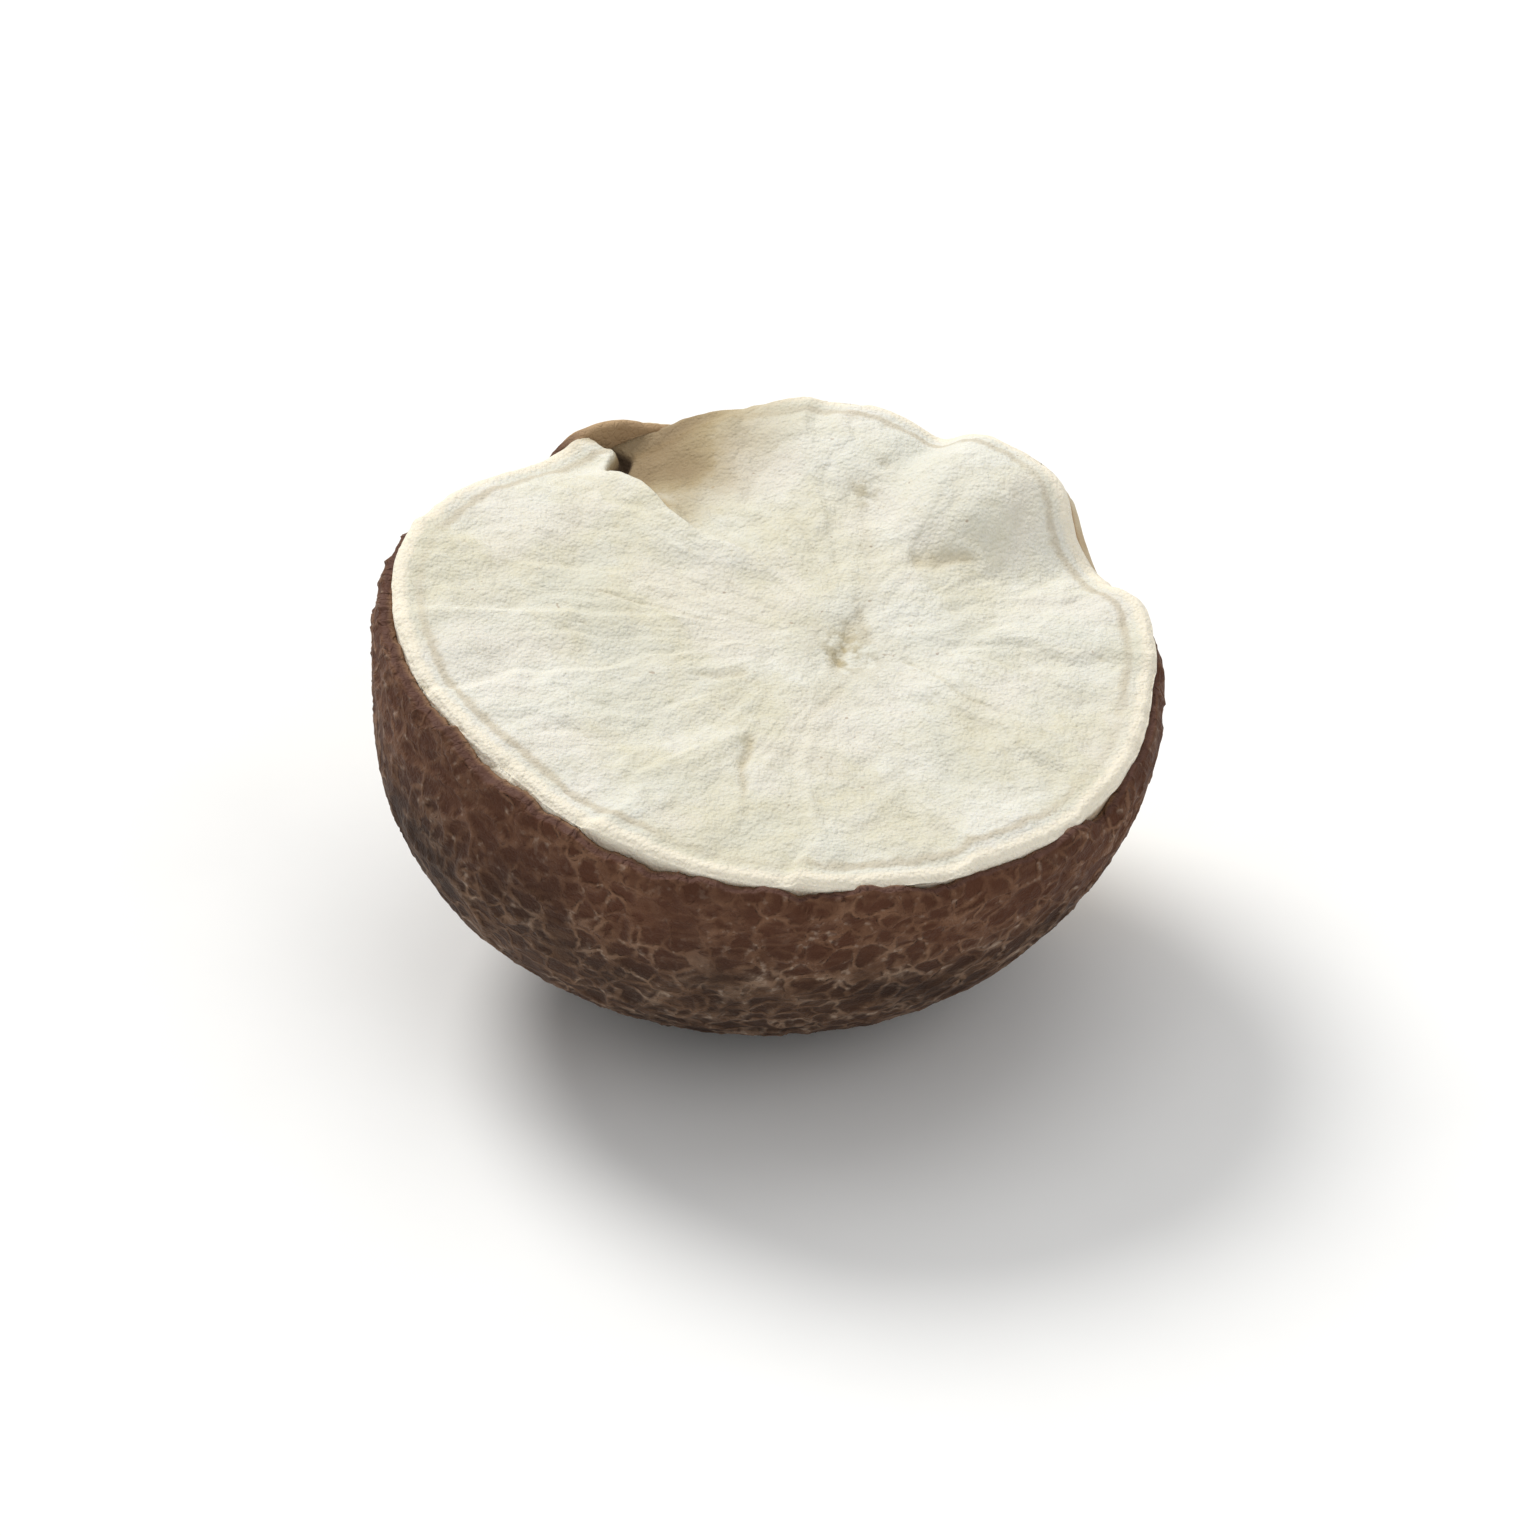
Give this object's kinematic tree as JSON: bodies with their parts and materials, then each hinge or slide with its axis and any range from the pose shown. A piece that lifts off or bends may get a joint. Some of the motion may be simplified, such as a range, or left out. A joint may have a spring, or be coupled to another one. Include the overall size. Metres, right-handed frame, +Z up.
{
  "type": "fox nut",
  "caption": "Half of a split dried fox nut: a white starchy kernel with a rough broken face, lying in its thin wrinkled brown seed coat with a pale cap and scar.",
  "frame": {"origin": "middle of the small flat spot under the seed coat that the half nut rests on", "axes": "+Z up, away from the surface it rests on, towards the broken face; +X to the right and +Y away from the viewer as the picture shows it"},
  "size_m": [0.009, 0.0088, 0.0049],
  "materials": {
    "kernel_starch": "matt, powdery broken starch",
    "seed_coat_skin": "dull, finely wrinkled dry skin"
  },
  "bodies": {
    "root": {"kernel": "kernel_starch", "seed_coat": "seed_coat_skin"}
  },
  "joints": []
}
